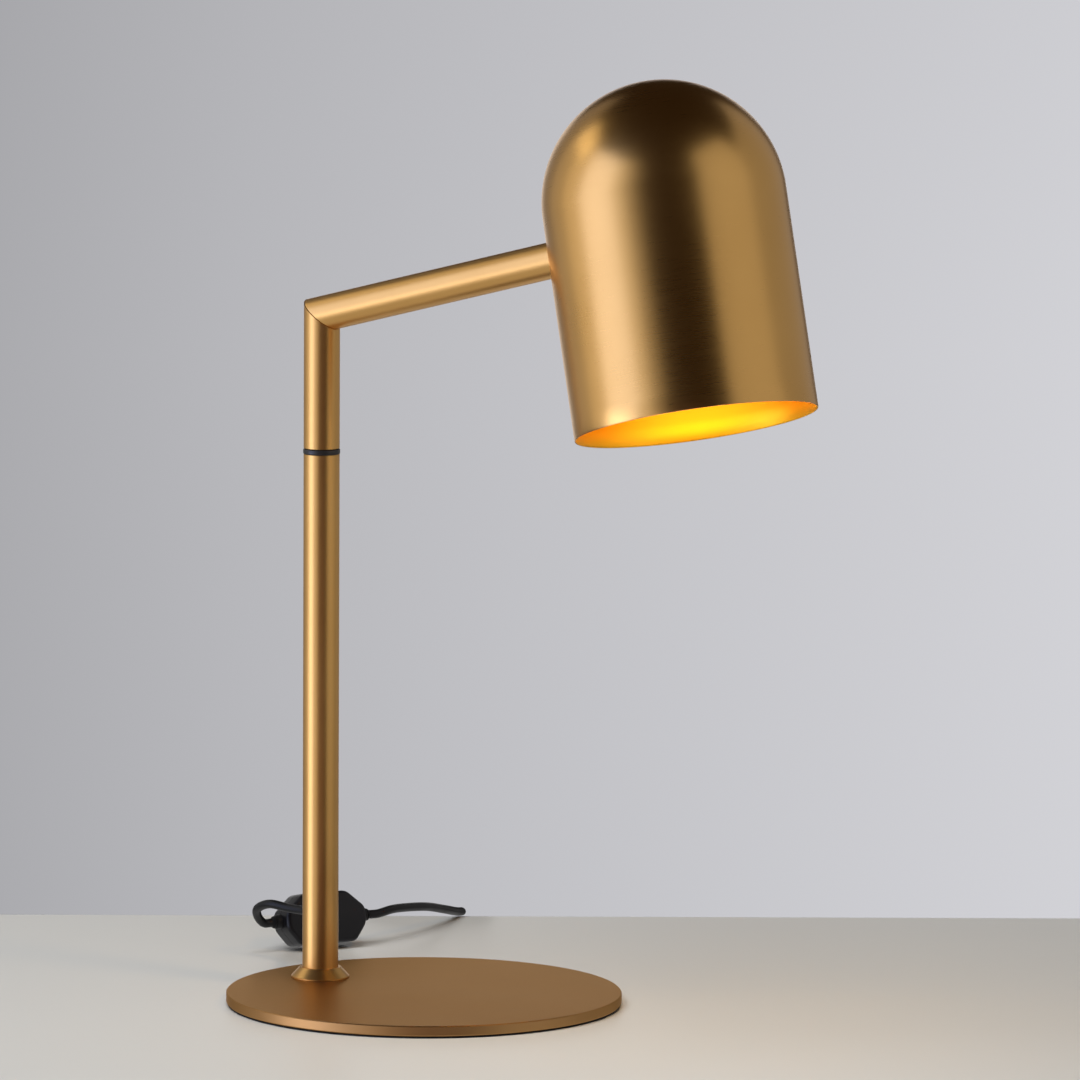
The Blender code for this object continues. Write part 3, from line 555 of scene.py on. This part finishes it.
def bulb_outline():
    """A pear-shaped bulb: a round end that runs up in a smooth shoulder to the neck."""
    centre = BULB_TIP + BULB_RADIUS
    round_end = [
        (BULB_RADIUS * math.sin(a), centre - BULB_RADIUS * math.cos(a))
        for a in (math.radians(105) * step / 30 for step in range(31))
    ]
    round_end[0] = (0, BULB_TIP)
    top_radius, top_height = round_end[-1]
    shoulder = []
    for step in range(1, 17):
        share = step / 16
        ease = share * share * (3 - 2 * share)
        height = top_height + (BULB_SEAM - top_height) * share
        shoulder.append((top_radius + (BULB_NECK - top_radius) * ease, height))
    return [*round_end, *shoulder, (0, BULB_SEAM)]


def head_skins():
    shade_skin()
    as_piece(
        "bulb_skin", revolved(bulb_outline(), 96), LIT_BULB, "head", "opal_glass", ["bulb_glass"],
        parent=head,
    )
    cap_top = BEND_HEIGHT - 0.0023
    cap_bottom, skirt_bottom = cap_top - 0.0150, -0.0200
    cap = [
        (0.0053, cap_top),
        (0.0135, cap_top),
        (0.0185, cap_top - 0.0060),
        (0.0195, cap_bottom),
        (0.0175, cap_bottom),
        (0.0165, cap_top - 0.0080),
        (0.0053, cap_top - 0.0080),
    ]
    as_piece(
        "lampholder_cap_skin", revolved(rounded(cap, 0.0008), 96), HOLDER_BLACK, "head", "lampholder_black",
        ["lampholder_cap"], parent=head, sharp=50,
    )
    skirt = [
        (0, cap_bottom - 0.0025),
        (0.0142, cap_bottom - 0.0025),
        (0.0142, skirt_bottom),
        (0.0186, skirt_bottom),
        (0.0195, skirt_bottom + 0.0020),
        (0.0195, cap_bottom - GAP),
        (0, cap_bottom - GAP),
    ]
    as_piece(
        "lampholder_skirt_skin", revolved(rounded(skirt, 0.0006, closed=False), 96), HOLDER_BLACK, "head",
        "lampholder_black", ["lampholder_skirt"], parent=head, sharp=50,
    )


# The cord and what is on it


def tube_mesh(points, radius):
    """A bmesh tube with closed ends that follows the points without twisting."""
    shape = bmesh.new()
    side_way = None
    rings = []
    for index, point in enumerate(points):
        before, after = points[max(index - 1, 0)], points[min(index + 1, len(points) - 1)]
        ahead = (after - before).normalized()
        if side_way is None:
            side_way = ahead.orthogonal().normalized()
        side_way = (side_way - ahead * side_way.dot(ahead)).normalized()
        up_way = ahead.cross(side_way)
        ring = []
        for step in range(CORD_SIDES):
            angle = math.tau * step / CORD_SIDES
            outward = math.cos(angle) * side_way + math.sin(angle) * up_way
            ring.append(shape.verts.new(point + radius * outward))
        rings.append(ring)
    for ring, following in zip(rings, rings[1:]):
        for step in range(CORD_SIDES):
            nearby = (step + 1) % CORD_SIDES
            shape.faces.new((ring[step], ring[nearby], following[nearby], following[step]))
    shape.faces.new(rings[0])
    shape.faces.new(rings[-1])
    return shape


def along_switch(distance):
    """A point on the switch's long axis, in the cord's frame."""
    return SWITCH_CENTRE + distance * Vector((math.cos(SWITCH_TURN), math.sin(SWITCH_TURN), 0))


def coil_points():
    """The coil's turns, in the cord's frame: three by three, each change of place before the next turn's."""
    slots = [(1, -1), (1, 0), (0, 0), (0, -1), (-1, -1), (-1, 0), (-1, 1), (0, 1), (1, 1)]
    shift = math.radians(34)
    steps_per_turn = 72
    last = len(slots) - 1
    total = (COIL_END - COIL_START) + math.tau * last
    changes = []
    spare = total - last * (math.tau - shift)
    for index in range(last):
        end_of_slot = 0.62 * spare + (index + 1) * (math.tau - shift)
        changes.append(min(end_of_slot, total) - spare / 2)
    points = []
    count = round(total / math.tau * steps_per_turn)
    for step in range(count + 1):
        turned = total * step / count
        place = Vector(slots[0])
        for (before, after), change in zip(zip(slots, slots[1:]), changes):
            share = min(max((turned - change) / shift + 0.5, 0), 1)
            ease = share * share * (3 - 2 * share)
            place += (Vector(after) - Vector(before)) * ease
        angle = COIL_START + turned
        reach = COIL_MIDDLE + TURN_SPACING * place.x
        points.append(
            COIL_CENTRE + Vector((reach * math.cos(angle), reach * math.sin(angle), TURN_SPACING * place.y))
        )
    return points


def cord_piece(name, route, nodes, **facts):
    turn = Matrix.Rotation(CORD_TURN, 3, "Z")
    path = [turn @ point for point in route]
    shape = tube_mesh(path, CORD_RADIUS)
    made = as_piece(name, shape, CORD_BLACK, "base", "black_cord", nodes, sharp=60)
    return made


def cords():
    boots = SWITCH_LENGTH / 2 + SMALL_BOOT
    lead = smooth_points(LEAD_ROUTE + [along_switch(-boots - 0.0045), along_switch(-boots)], 0.0020)
    cord_piece(
        "lead_cord", lead, ["cord_lead"], length=LEAD_LENGTH, far_end="object", lay="loose",
        with_pieces=["boot_skin"],
    )
    run = smooth_points([along_switch(boots), along_switch(boots + 0.0060)] + RUN_ROUTE, 0.0020)
    turns = coil_points()
    plug_boot = plug.matrix_world.translation.copy()
    plug_boot.rotate(Matrix.Rotation(-CORD_TURN, 3, "Z"))
    joined = smooth_points([run[-4], run[-1], *turns[2:6]], 0.0020)[2:]
    leave = smooth_points([*turns[-7:-2], plug_boot + Vector((0.0050, 0, 0)), plug_boot], 0.0020)[3:]
    whole = [*run[:-3], *joined, *turns[6:-6], *leave]
    cord_piece(
        "run_cord", whole, ["cord_run", "cord_coil"], length=RUN_LENGTH, far_end="plug", lay="coiled",
        with_pieces=[
            "plug_body_skin", "plug_boot_skin", "plug_pin_1", "plug_pin_2", "tie_skin",
            "switch_boot_in_skin", "switch_boot_out_skin", "switch_front_skin", "switch_rear_skin",
            "rocker_skin", "switch_screw_1", "switch_screw_2", "switch_contacts",
        ],
    )


def boot(name, length, root, tip, nodes, parent, ribs, **where):
    """A tapered strain relief along Z from its root at 0, with rings around it."""
    outline = [(0, 0), (root, 0), (root, 0.0018)]
    for rib in range(ribs):
        for share, deep in ((0.15, 1), (0.5, 1), (0.6, 0), (0.95, 0)):
            along = (rib + share) / ribs
            height = 0.0024 + along * (length - 0.0024)
            outline.append((root + (tip - root) * along - 0.0006 * (1 - deep), height))
    outline += [(tip, length - 0.0003), (tip - 0.0003, length), (0, length)]
    return as_piece(
        name, revolved(outline, 48), CORD_BLACK, "base", "black_cord", nodes,
        parent=parent, sharp=40, **where,
    )


def prism(outline, near, far, bevel):
    """A bmesh of an outline in X and Z, from near to far along Y, its edges rounded."""
    shape = bmesh.new()
    face = shape.faces.new([shape.verts.new((x, near, z)) for x, z in outline])
    moved = bmesh.ops.extrude_face_region(shape, geom=[face])
    for item in moved["geom"]:
        if isinstance(item, bmesh.types.BMVert):
            item.co.y = far
    bmesh.ops.recalc_face_normals(shape, faces=shape.faces)
    rims = [edge for edge in shape.edges if abs(edge.verts[0].co.y - edge.verts[1].co.y) < 1e-7]
    outer = [edge for edge in rims if abs(edge.verts[0].co.y) > 0.0015]
    if bevel:
        bmesh.ops.bevel(
            shape, geom=outer, offset=bevel, segments=5, profile=0.5, affect="EDGES", clamp_overlap=True
        )
    return shape


def switch_skins():
    half, tall, end = SWITCH_LENGTH / 2, SWITCH_HEIGHT / 2, SWITCH_END
    right = [(half - SWITCH_LOW_TAPER, -tall), (half, -end), (half, end), (half - SWITCH_TAPER, tall)]
    corners = [*right, *[(-x, z) for x, z in reversed(right)]]
    outline = rounded(corners, 0.0026, 6)
    half_depth = SWITCH_DEPTH / 2
    for name, side, node in (
        ("switch_front_skin", -1, "switch_front_shell"),
        ("switch_rear_skin", 1, "switch_rear_shell"),
    ):
        shape = prism(outline, side * GAP / 2, side * half_depth, 0.0024)
        as_piece(name, shape, BLACK, "base", "black_plastic", [node], parent=switch, sharp=50)
    crown = [
        (-0.0099, 0.0), (-0.0030, -0.0022), (0.0030, -0.0022), (0.0099, 0.0),
        (0.0099, 0.0042), (0.0050, 0.0028), (0, 0.0023), (-0.0050, 0.0028), (-0.0099, 0.0042),
    ]
    shape = bmesh.new()
    half_width = 0.0059  # along the pivot
    face = shape.faces.new([shape.verts.new((x, y, -half_width)) for x, y in crown])
    moved = bmesh.ops.extrude_face_region(shape, geom=[face])
    for item in moved["geom"]:
        if isinstance(item, bmesh.types.BMVert):
            item.co.z = half_width
    bmesh.ops.bevel(
        shape, geom=shape.edges[:], offset=0.0003, segments=2, profile=0.5,
        affect="EDGES", clamp_overlap=True,
    )
    as_piece(
        "rocker_skin", shape, BLACK, "rocker", "black_plastic", ["switch_rocker"], parent=rocker, sharp=50
    )
    reach = SWITCH_LENGTH / 2
    for name, side in (("switch_boot_in", -1), ("switch_boot_out", 1)):
        boot(
            name + "_skin", SMALL_BOOT, 0.0038, CORD_RADIUS + 0.0005, [name], switch, 2,
            location=(side * reach, 0, 0), rotation=(0, side * math.pi / 2, 0),
        )


def plug_skins():
    boot(
        "plug_boot_skin", PLUG_BOOT, 0.0045, CORD_RADIUS + 0.0005, ["plug_boot"], plug, 6,
        location=(PLUG_BOOT, 0, 0), rotation=(0, -math.pi / 2, 0),
    )
    half, neck, waist = PLUG_WIDTH / 2, 0.0070, 0.0120
    far = PLUG_BOOT + PLUG_LENGTH
    corners = [
        (PLUG_BOOT, -neck),
        (PLUG_BOOT + waist, -half),
        (far, -half),
        (far, half),
        (PLUG_BOOT + waist, half),
        (PLUG_BOOT, neck),
    ]
    shape = prism(rounded(corners, 0.0040, 6), -PLUG_DEPTH / 2, PLUG_DEPTH / 2, 0.0022)
    as_piece(
        "plug_body_skin", shape, BLACK, "base", "black_plastic", ["plug_body"], parent=plug,
        rotation=(math.pi / 2, 0, 0), sharp=50,
    )


def tie_skin():
    """A flat strip wrapped once round the bundle of turns."""
    half, corner, width = 0.00745, 0.0022, 0.0025
    square = [(-half, -half), (half, -half), (half, half), (-half, half)]
    outer = rounded([(1.07 * x, 1.07 * z) for x, z in square], corner, 5)
    inner = rounded(square, corner, 5)
    shape = bmesh.new()
    rings = [
        [shape.verts.new((x, y, z)) for x, z in ring]
        for ring, y in ((inner, -width), (outer, -width), (outer, width), (inner, width))
    ]
    for ring, following in zip(rings, [*rings[1:], rings[0]]):
        for step in range(len(ring)):
            nearby = (step + 1) % len(ring)
            shape.faces.new((ring[step], ring[nearby], following[nearby], following[step]))
    as_piece(
        "tie_skin", shape, BLACK, "base", "black_plastic", ["cord_tie"], parent=cord_frame,
        location=COIL_CENTRE + Vector((-COIL_MIDDLE, 0, 0)), sharp=50,
    )


# The stage and the light


def stage_plane(name, low, high, look, parent=None, location=(0, 0, 0), rotation=(0, 0, 0)):
    shape = bmesh.new()
    corners = [(low[0], low[1]), (high[0], low[1]), (high[0], high[1]), (low[0], high[1])]
    shape.faces.new([shape.verts.new((x, y, 0)) for x, y in corners])
    mesh = bpy.data.meshes.new(name)
    shape.to_mesh(mesh)
    shape.free()
    mesh.materials.append(look)
    made = bpy.data.objects.new(name, mesh)
    bpy.context.scene.collection.objects.link(made)
    made.matrix_world = place_of(parent, location, rotation)
    return made


def make_stage():
    table = stage_plane("table_top", (-30, -30), (30, 30), floor_material())
    table.visible_glossy = False
    wall = stage_plane(
        "wall", (-3.0, 0.0), (3.0, 3.0), painted_shade_backdrop_material(),
        parent=cord_frame, location=(0, TABLE_EDGE, 0), rotation=(math.pi / 2, 0, 0),
    )
    wall.visible_shadow = False
    wall.visible_diffuse = False
    wall.visible_glossy = False


def softbox(name, place, aim, size, power, colour=(1, 1, 1)):
    """A rectangular area light that reflections see, aimed at a point. Both are in the cord's frame."""
    data = bpy.data.lights.new(name, "AREA")
    data.shape = "RECTANGLE"
    data.size, data.size_y = size
    data.energy = power
    data.color = colour
    made = bpy.data.objects.new(name, data)
    bpy.context.scene.collection.objects.link(made)
    turn = Matrix.Rotation(CORD_TURN, 4, "Z")
    way = Vector(aim) - Vector(place)
    facing = way.to_track_quat("-Z", "Y").to_matrix().to_4x4()
    made.matrix_world = turn @ (Matrix.Translation(place) @ facing)
    made.visible_camera = False
    return made


def banner(name, middle, half, brightness, colour=(1, 1, 1), low=-0.45, high=2.35, reach=2.2):
    """A tall softbox round the lamp that only reflections see. Angles are degrees left of the camera."""
    turn = math.radians(middle)
    across = -reach * math.sin(turn)
    along = -reach * math.cos(turn)
    width = 2 * reach * math.tan(math.radians(half))
    centre = (low + high) / 2
    power = brightness * math.pi * width * (high - low)
    made = softbox(name, (across, along, centre), (0, 0, centre), (width, high - low), power, colour)
    made.visible_diffuse = False
    return made


def make_lights():
    """A ring of softboxes that the brass mirrors, soft light on the table, and the lamp's own light."""
    world = bpy.data.worlds.new("studio")
    bpy.context.scene.world = world
    world.use_nodes = True
    tree = world.node_tree
    seen = add(tree, "ShaderNodeLightPath").outputs["Is Camera Ray"]
    background = tree.nodes["Background"]
    mirrored, behind = (0.022, 0.014, 0.008), (0.56, 0.56, 0.58)
    tree.links.new(between(tree, seen, mirrored, behind), background.inputs["Color"])

    banner("key_left", 68, 18, 1.42, (0.95, 1.08, 1.70))
    banner("key_edge", 43.5, 6.5, 0.80, (0.98, 1.03, 1.2))
    banner("key_fade", 31, 6, 0.27)
    banner("side_left", 98, 12, 0.74)
    banner("side_fade", 121, 11, 0.42)
    banner("upper_left", 114, 15, 0.85, (1.0, 0.96, 0.8), low=1.5, high=2.5, reach=2.0)
    banner("back_left", 146, 16, 0.24)
    banner("back", 180, 18, 0.95, high=0.85)
    banner("right", -62, 27, 0.52, high=3.1)
    banner("side_right", -120, 31, 0.33)
    banner("low_left", 72, 14, 1.55, (0.98, 1.02, 1.2), low=-0.9, high=0.12, reach=2.0)
    banner("low_key", 32, 8, 0.65, (1.0, 0.96, 0.95), low=-0.9, high=0.12, reach=1.95)
    banner("low_front", 2, 21, 0.17, (1.0, 0.66, 0.75), low=-0.9, high=0.12, reach=1.9)
    below = softbox("below", (0.1, 0.1, -0.5), (0.1, 0.1, 0.0), (2.6, 2.6), 0.55 * math.pi * 2.6 ** 2)
    below.visible_diffuse = False
    above = softbox("above", (-0.8, -1.0, 2.1), (-0.8, -0.95, 0), (2.4, 2.4), 67)
    above.visible_glossy = False

    bulb_lights = (("bulb_glow", 0.125, (1.0, 0.62, 0.2)), ("bulb_pool", 1.25, (1.0, 0.66, 0.3)))
    for name, energy, colour in bulb_lights:
        glow = bpy.data.lights.new(name, "POINT")
        glow.energy = energy
        glow.color = colour
        glow.shadow_soft_size = 0.024
        made = bpy.data.objects.new(name, glow)
        bpy.context.scene.collection.objects.link(made)
        made.matrix_world = place_of(head, location=(0, 0, BULB_TIP - 0.006))
        made.visible_diffuse = name == "bulb_pool"
        made.visible_glossy = name == "bulb_glow"
        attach(made, "head")


bpy.context.scene.view_settings.view_transform = "Standard"
make_camera()
cord_frame = empty("cord_frame", rotation=(0, 0, CORD_TURN))
swivel = empty("swivel", location=(-POLE_OFFSET, 0, RING_TOP), rotation=(0, 0, SWIVEL_AT_REST))
elbow = empty("elbow", swivel, (0, 0, ELBOW_HEIGHT - RING_TOP), (0, -ARM_RISE, 0))
arm_axis = empty("arm_axis", elbow, rotation=(0, math.pi / 2, 0))
head_turn = empty("head_turn", elbow, rotation=(HEAD_ROLL_AT_REST, 0, 0))
head = empty("head", head_turn, (ARM_LENGTH, 0, 0))
switch = empty("switch", cord_frame, SWITCH_CENTRE, (-SWITCH_LEAN, 0, SWITCH_TURN))
rocker = empty("rocker", switch, (0, SWITCH_DEPTH / 2 - 0.0010, 0), (0, 0, math.radians(7)))
plug_tip = COIL_CENTRE + Vector((-COIL_EXIT - GAP, COIL_MIDDLE + 2 * CORD_RADIUS, 0))
plug_tip.z = PLUG_DEPTH / 2 + GAP / 3
plug = empty("plug", cord_frame, plug_tip, (0, 0, math.pi))
bpy.context.view_layer.update()

boot(
    "boot_skin", BOOT_LENGTH, 0.0045, CORD_RADIUS + 0.0006, ["cord_boot"], cord_frame, 6,
    location=OUTLET + Vector((0, TUBE_RADIUS, 0)), rotation=(-math.pi / 2, 0, 0),
)
switch_skins()
plug_skins()
tie_skin()
cords()
base_skins()
pole_skins()
arm_skins()
head_skins()
for look, nodes in CAD_LOOKS.items():
    for node in nodes:
        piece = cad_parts[node]
        piece.data.materials.clear()
        piece.data.materials.append(look)
make_stage()
make_lights()

bpy.context.view_layer.update()
